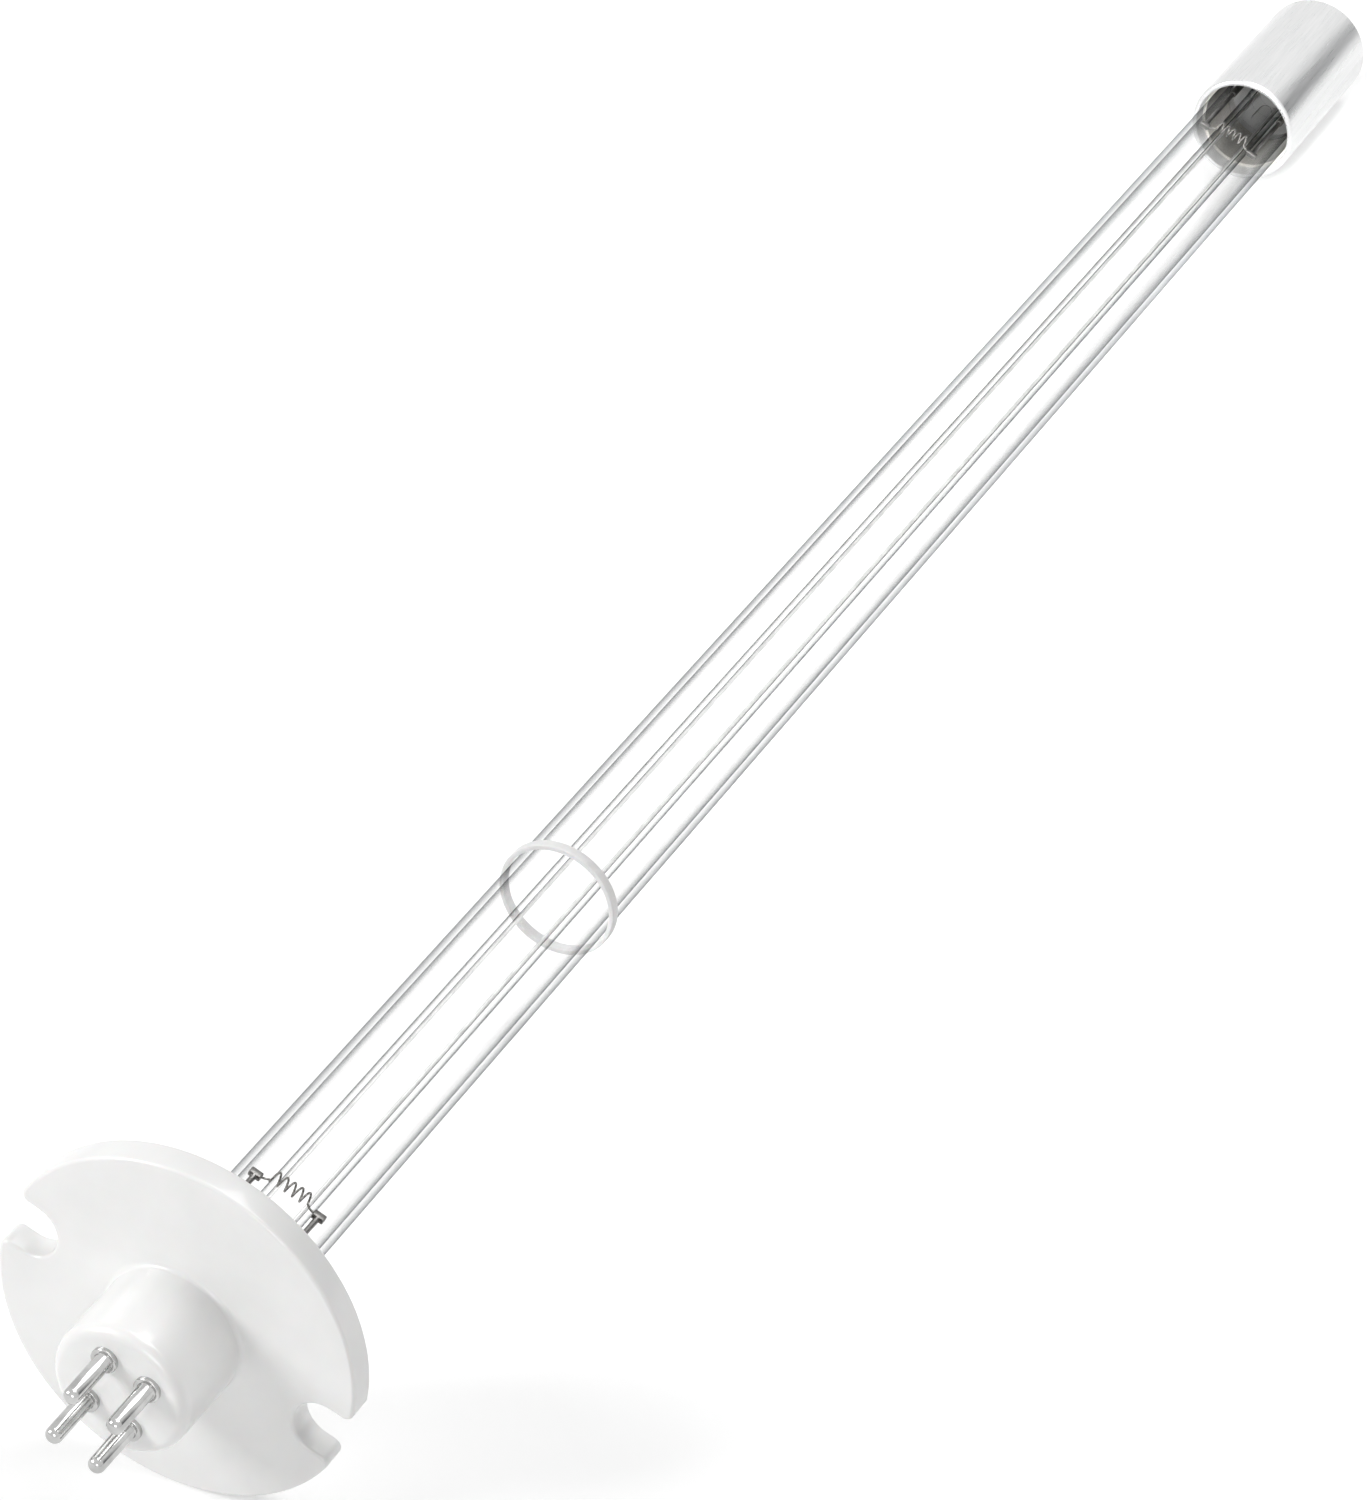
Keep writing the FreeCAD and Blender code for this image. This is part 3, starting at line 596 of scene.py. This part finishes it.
def make_pins():
    """Turned pins with rounded tips, each on its own small collar."""
    start = -NECK_LENGTH
    tip = start - PIN_LENGTH
    collar = start - PIN_COLLAR_LENGTH
    edge = 0.15
    chamfer = 0.1
    outline = [(tip, 0.0)]
    outline += arc((tip + PIN_TIP, PIN_RADIUS - PIN_TIP), PIN_TIP, 180, 90, 8)
    outline += [(collar - edge, PIN_RADIUS), (collar, PIN_RADIUS + chamfer)]
    outline += arc((collar + edge, PIN_COLLAR_RADIUS - edge), edge, 180, 90, 3)
    outline += [(start, PIN_COLLAR_RADIUS), (start, PIN_RADIUS)]
    outline += [(PIN_END - chamfer, PIN_RADIUS), (PIN_END, PIN_RADIUS - chamfer)]
    outline += [(PIN_END, PIN_BORE_RADIUS), (PIN_END - PIN_BORE_DEPTH, PIN_BORE_RADIUS)]
    outline += [(PIN_END - PIN_BORE_DEPTH, 0.0)]
    model = spin_outline("pin_model", outline, 48)
    smooth(model, 40)
    for number, (across, up) in enumerate(PIN_PLACES, start=1):
        pin = copied(model, "turned_pin_%d" % number, across, up)
        lay_down(pin, PIN_NICKEL, "contact_pin_%d" % number)
    bpy.data.objects.remove(model)


# Glass

def make_glass_tube(name, start, end, radius, wall, material, node):
    """Tube with fire-polished ends."""
    edge = 0.2
    bore = radius - wall
    outline = arc((start + edge, radius - edge), edge, 180, 90, 3)
    outline += arc((end - edge, radius - edge), edge, 90, 0, 3)
    outline += arc((end - edge, bore + edge), edge, 0, -90, 3)
    outline += arc((start + edge, bore + edge), edge, 270, 180, 3)
    tube = spin_outline(name, outline, ROUND_SIDES)
    smooth(tube, 60)
    lay_down(tube, material, node)


def make_stem(node, start, bead_side):
    """Pressed glass button with a hole for the return tube and a domed bead round each post."""
    radius = TUBE_RADIUS - TUBE_WALL - STEM_GAP
    bore = RETURN_RADIUS + STEM_GAP
    end = start + STEM_THICKNESS
    middle = end - STEM_THICKNESS / 2
    edge = 0.3
    outline = arc((start + edge, radius - edge), edge, 180, 90, 4)
    outline += arc((end - edge, radius - edge), edge, 90, 0, 4)
    outline += arc((end - edge, bore + edge), edge, 0, -90, 4)
    outline += arc((start + edge, bore + edge), edge, 270, 180, 4)
    stem = spin_outline(node + "_glass", outline, 96)

    dome = 0.5
    for side in (-1, 1):
        if bead_side > 0:
            tip = end + BEAD_HEIGHT
            places = [(middle, 0.0), (middle, BEAD_RADIUS)]
            places += arc((tip - dome, BEAD_RADIUS - dome), dome, 90, 0, 5)
            places += [(tip, 0.0)]
        else:
            tip = start - BEAD_HEIGHT
            places = [(tip, 0.0)]
            places += arc((tip + dome, BEAD_RADIUS - dome), dome, 180, 90, 5)
            places += [(middle, BEAD_RADIUS), (middle, 0.0)]
        bead = spin_outline("bead", places, 32)
        bead.location = (0, side * POST_ACROSS, POST_UP)
        combine(stem, apply_placing(bead), "UNION")

    if node == "cap_stem":
        # the sealed nub that is left of the exhaust tube
        tip = end + NUB_LENGTH
        dome = 1.25
        places = [(middle, 0.0), (middle, NUB_RADIUS)]
        places += arc((tip - dome, NUB_RADIUS - dome), dome, 90, 0, 8)
        places += [(tip, 0.0)]
        nub = spin_outline("exhaust", places, 32)
        nub.location = (0, 0, NUB_UP)
        combine(stem, apply_placing(nub), "UNION")

    hole_radius = 0.43
    hole_past = 3.0
    for side in (-1, 1):
        hole = cylinder_along(start - hole_past, side * POST_ACROSS, POST_UP, hole_radius,
                              STEM_THICKNESS + 2 * hole_past, 24)
        combine(stem, hole, "DIFFERENCE")
    smooth(stem, 45)
    lay_down(stem, INNER_QUARTZ, node)


# Filaments, posts and leads

def make_filament(node, distance):
    """Coil across the lamp, with a straight leg into each lug."""
    points_per_turn = 16
    leg_start = POST_ACROSS + 0.4
    leg_end = POST_ACROSS - 1.05
    points = [(distance, -leg_start, POST_UP), (distance, -leg_end, POST_UP)]
    for number in range(COIL_TURNS * points_per_turn + 1):
        angle = 2 * math.pi * number / points_per_turn
        points.append((distance + COIL_RADIUS * math.sin(angle),
                       COIL_PITCH * number / points_per_turn - COIL_TURNS * COIL_PITCH / 2,
                       COIL_HEIGHT - COIL_RADIUS * math.cos(angle)))
    points += [(distance, leg_end, POST_UP), (distance, leg_start, POST_UP)]
    coil = wire_along(node + "_coil", points, 0.15)
    smooth(coil, 60)
    lay_down(coil, TUNGSTEN, node)


def make_lug(distance, across, towards):
    """Flattened clamp at a post's end, with softened edges and a neck that narrows to the wire."""
    middle = (distance, across, POST_UP)
    lug = box_between([place - half for place, half in zip(middle, LUG_HALF)],
                      [place + half for place, half in zip(middle, LUG_HALF)])
    round_edges(lug, 0.18, 3, sharper_than=30)
    neck_start, neck_length = 0.28, 2.05
    deselect()
    bpy.ops.mesh.primitive_cone_add(
        vertices=32, radius1=0.44, radius2=POST_RADIUS, depth=neck_length,
        rotation=(0, towards * math.pi / 2, 0),
        location=(distance + towards * (neck_start + neck_length / 2), across, POST_UP))
    combine(lug, apply_placing(bpy.context.object), "UNION")
    return lug


def make_base_post(node, side):
    """Wire from the bore of its pin through the stem to the base filament."""
    pin_across = side * PIN_PLACES[1][0]
    pin_up = PIN_PLACES[1][1]
    distance = FILAMENT_PLACES["base_filament"]
    across = side * POST_ACROSS
    in_stem, before_stem = 12.5, 10.8
    points = [(distance - 1.0, across, POST_UP), (distance - 3.0, across, POST_UP),
              (in_stem, across, POST_UP), (before_stem, across, POST_UP),
              (PIN_END + 2.4, pin_across, pin_up), (PIN_END, pin_across, pin_up),
              (PIN_END - WIRE_IN_PIN, pin_across, pin_up)]
    post = wire_along(node + "_wire", points, POST_RADIUS)
    combine(post, make_lug(distance, across, -1), "UNION")
    smooth(post, 40)
    lay_down(post, POST_NICKEL, node)


def make_cap_post(node, side):
    """Wire from the cap filament through the stem, thicker just before it, to its sleeve."""
    distance = FILAMENT_PLACES["cap_filament"]
    across = side * POST_ACROSS
    start = distance + 1.0
    post = cylinder_along(start, across, POST_UP, POST_RADIUS, POST_END - start, 32)
    root_radius, root_length = 0.6, 7.0
    root_end = STEM_STARTS["cap_stem"] - BEAD_HEIGHT - 0.03
    root = cylinder_along(root_end - root_length, across, POST_UP, root_radius, root_length, 32)
    round_edges(root, 0.15, 3, sharper_than=60)
    combine(post, root, "UNION")
    combine(post, make_lug(distance, across, 1), "UNION")
    post.name = node + "_wire"
    post.data.name = node + "_wire"
    smooth(post, 40)
    lay_down(post, POST_NICKEL, node)


def make_return_wire(node, side):
    """Lead from the bore of its pin through the return tube and up into its sleeve."""
    pin_across = side * PIN_PLACES[3][0]
    pin_up = PIN_PLACES[3][1]
    across = side * 2.2
    sleeve_across, sleeve_up = side * 4.181, 2.820
    points = [(PIN_END - WIRE_IN_PIN, pin_across, pin_up), (PIN_END, pin_across, pin_up),
              (PIN_END + 1.0, pin_across, pin_up), (RETURN_START - 1.0, across, 0),
              (RETURN_START, across, 0), (60, across, 0), (200, across, 0), (340, across, 0),
              (RETURN_END, across, 0), (RETURN_END + 1.0, across, 0),
              (SLEEVE_START - 1.0, sleeve_across, sleeve_up),
              (SLEEVE_START + 0.5, sleeve_across, sleeve_up),
              (POST_END, sleeve_across, sleeve_up)]
    wire = wire_along(node + "_lead", points, 0.25)
    smooth(wire, 60)
    lay_down(wire, LEAD_NICKEL, node)


def make_crimp_sleeves():
    """Short rolled tubes, each round the end of a post and of a return wire."""
    edge = 0.1
    outline = arc((SLEEVE_START + edge, SLEEVE_RADIUS - edge), edge, 180, 90, 3)
    outline += arc((SLEEVE_END - edge, SLEEVE_RADIUS - edge), edge, 90, 0, 3)
    outline += [(SLEEVE_END, SLEEVE_BORE_RADIUS), (SLEEVE_START, SLEEVE_BORE_RADIUS)]
    model = spin_outline("sleeve_model", outline, 40)
    smooth(model, 45)
    for side, word in ((-1, "left"), (1, "right")):
        sleeve = copied(model, "crimped_sleeve_" + word, side * 4.596, 3.100)
        lay_down(sleeve, SLEEVE_NICKEL, "crimp_sleeve_" + word)
    bpy.data.objects.remove(model)


# Cap and ring

def make_end_cap():
    """Drawn cup with a soft closed end and a rolled rim."""
    rim, shoulder, inner_rim, inner_shoulder = 0.75, 0.9, 0.15, 0.3
    bore = CAP_RADIUS - CAP_WALL
    floor = CAP_END - CAP_WALL
    outline = arc((CAP_START + rim, CAP_RADIUS - rim), rim, 180, 90, 8)
    outline += arc((CAP_END - shoulder, CAP_RADIUS - shoulder), shoulder, 90, 0, 8)
    outline += [(CAP_END, 0.0), (floor, 0.0)]
    outline += arc((floor - inner_shoulder, bore - inner_shoulder), inner_shoulder, 0, 90, 4)
    outline += arc((CAP_START + inner_rim, bore + inner_rim), inner_rim, 270, 180, 3)
    cap = spin_outline("drawn_cap", outline, ROUND_SIDES)
    smooth(cap, 40)
    inside = [face.index for face in cap.data.polygons
              if math.hypot(face.center.y, face.center.z) < bore + 0.05
              and face.center.x < CAP_END - CAP_WALL / 2]
    lay_down(cap, ALUMINIUM, "end_cap")
    cap.data.materials.append(INNER_ALUMINIUM)
    for index in inside:
        cap.data.polygons[index].material_index = 1


def make_tube_ring():
    """Narrow support ring round the tube."""
    edge, bore_edge = 0.2, 0.12
    end = RING_START + RING_WIDTH
    bore = RING_BORE_RADIUS
    outline = arc((RING_START + edge, RING_RADIUS - edge), edge, 180, 90, 4)
    outline += arc((end - edge, RING_RADIUS - edge), edge, 90, 0, 4)
    outline += arc((end - bore_edge, bore + bore_edge), bore_edge, 0, -90, 3)
    outline += arc((RING_START + bore_edge, bore + bore_edge), bore_edge, 270, 180, 3)
    ring = spin_outline("support_ring", outline, ROUND_SIDES)
    smooth(ring, 50)
    lay_down(ring, PTFE, "tube_ring")


make_ceramic_base()
make_pins()
make_glass_tube("quartz_tube", TUBE_SEAT, TUBE_END, TUBE_RADIUS, TUBE_WALL, QUARTZ, "outer_tube")
make_glass_tube("quartz_return_tube", RETURN_START, RETURN_END, RETURN_RADIUS, RETURN_WALL,
                INNER_QUARTZ, "inner_tube")
make_stem("base_stem", STEM_STARTS["base_stem"], 1)
make_stem("cap_stem", STEM_STARTS["cap_stem"], -1)
for filament, distance in FILAMENT_PLACES.items():
    make_filament(filament, distance)
for side, word in ((-1, "left"), (1, "right")):
    make_base_post("base_post_" + word, side)
    make_cap_post("cap_post_" + word, side)
    make_return_wire("return_wire_" + word, side)
make_crimp_sleeves()
make_end_cap()
make_tube_ring()
# The two cements keep the solids' own shapes and get only their finish
for node in ("base_cement", "cap_cement"):
    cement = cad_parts[node]
    cement.data.materials.clear()
    cement.data.materials.append(CEMENT)


# Table, light and camera

def matt_white():
    """Matt white sheet that shows as pure white away from shadows."""
    material = new_material("matt_white_table")
    matt = add(material, "ShaderNodeBsdfDiffuse", values={"Color": linear("#E8E8E8")})
    glow = add(material, "ShaderNodeEmission", values={"Color": (1, 1, 1, 1), "Strength": 0.37})
    path = add(material, "ShaderNodeLightPath")
    seen = add(material, "ShaderNodeMath", settings={"operation": "MAXIMUM"},
               links={0: path.outputs["Is Camera Ray"], 1: path.outputs["Is Glossy Ray"]})
    seen_through = add(material, "ShaderNodeMath", settings={"operation": "MAXIMUM"},
                       links={0: seen.outputs[0], 1: path.outputs["Is Transmission Ray"]})
    both = add(material, "ShaderNodeAddShader",
               links={0: matt.outputs["BSDF"], 1: glow.outputs["Emission"]})
    shader = add(material, "ShaderNodeMixShader",
                 links={0: seen_through.outputs[0], 1: matt.outputs["BSDF"],
                        2: both.outputs["Shader"]})
    return finish_material(material, shader.outputs["Shader"])


def make_table():
    deselect()
    bpy.ops.mesh.primitive_plane_add(size=30.0, location=(0, 0, 0))
    table = bpy.context.object
    table.name = "table"
    table.data.materials.append(matt_white())


def make_world():
    """White room that lights plainly; shiny faces show it white, with one dim far corner."""
    world = bpy.data.worlds.new("studio")
    bpy.context.scene.world = world
    world.use_nodes = True
    world.node_tree.nodes.clear()
    way = add(world, "ShaderNodeTexCoord").outputs["Generated"]
    towards_corner = add(world, "ShaderNodeVectorMath", settings={"operation": "DOT_PRODUCT"},
                         values={1: (0.73, -0.68, 0.06)}, links={0: way})
    corner = add(world, "ShaderNodeValToRGB", links={"Fac": towards_corner.outputs["Value"]},
                 stops=[(0.87, "#FFFFFF"), (0.975, "#828384")])
    path = add(world, "ShaderNodeLightPath")
    seen = add(world, "ShaderNodeMath", settings={"operation": "MAXIMUM"},
               links={0: path.outputs["Is Camera Ray"], 1: path.outputs["Is Transmission Ray"]})
    light = add(world, "ShaderNodeBackground", values={"Color": (1, 1, 1, 1), "Strength": 0.24})
    room = add(world, "ShaderNodeBackground", values={"Strength": 1.0},
               links={"Color": corner.outputs["Color"]})
    white = add(world, "ShaderNodeBackground", values={"Color": (1, 1, 1, 1), "Strength": 1.0})
    lit = add(world, "ShaderNodeMixShader",
              links={0: path.outputs["Is Glossy Ray"], 1: light.outputs["Background"],
                     2: room.outputs["Background"]})
    mixed = add(world, "ShaderNodeMixShader",
                links={0: seen.outputs[0], 1: lit.outputs["Shader"],
                       2: white.outputs["Background"]})
    add(world, "ShaderNodeOutputWorld", links={"Surface": mixed.outputs["Shader"]})


def make_softbox(name, place, target, width, height, watts, spread=180):
    """Rectangular light at a place in metres, aimed at a target. Its spread is in degrees."""
    light = bpy.data.lights.new(name, "AREA")
    light.shape = "RECTANGLE"
    light.size = width
    light.size_y = height
    light.energy = watts
    light.spread = math.radians(spread)
    lamp = bpy.data.objects.new(name, light)
    bpy.context.scene.collection.objects.link(lamp)
    lamp.location = place
    lamp.rotation_euler = (Vector(target) - Vector(place)).to_track_quat("-Z", "Y").to_euler()


def make_camera():
    """Long lens, placed and aimed as fitted to points measured in the photo."""
    camera = bpy.data.cameras.new("photo_view")
    camera.lens = 122.41
    camera.sensor_width = 36.0
    camera.clip_start = 0.05
    camera.clip_end = 50.0
    holder = bpy.data.objects.new("photo_view", camera)
    bpy.context.scene.collection.objects.link(holder)
    forward = Vector((0.7323, 0.3560, -0.5805)).normalized()
    holder.location = (-0.58981, -0.26238, 0.44895)
    holder.rotation_mode = "QUATERNION"
    holder.rotation_quaternion = forward.to_track_quat("-Z", "Y")
    bpy.context.scene.camera = holder


make_table()
make_world()
make_softbox("key_softbox", (-1.2, 1.44, 1.2), (-0.1, 0, 0.02), 0.8, 0.8, watts=24.0)
make_softbox("fill_softbox", (-1.4, -0.35, 0.45), (0.1, 0, 0.02), 0.5, 0.5, watts=2.7)
make_softbox("top_softbox", (0.3, -0.3, 1.3), (0, 0, 0), 1.0, 0.8, watts=9.0)
# a narrow beam past the base that lights the inside of the cap
make_softbox("cap_softbox", (-0.5, -0.1, 0.4), (0.185, 0, 0.02), 0.12, 0.12, watts=0.07, spread=20)
make_camera()
bpy.context.scene.view_settings.view_transform = "Standard"
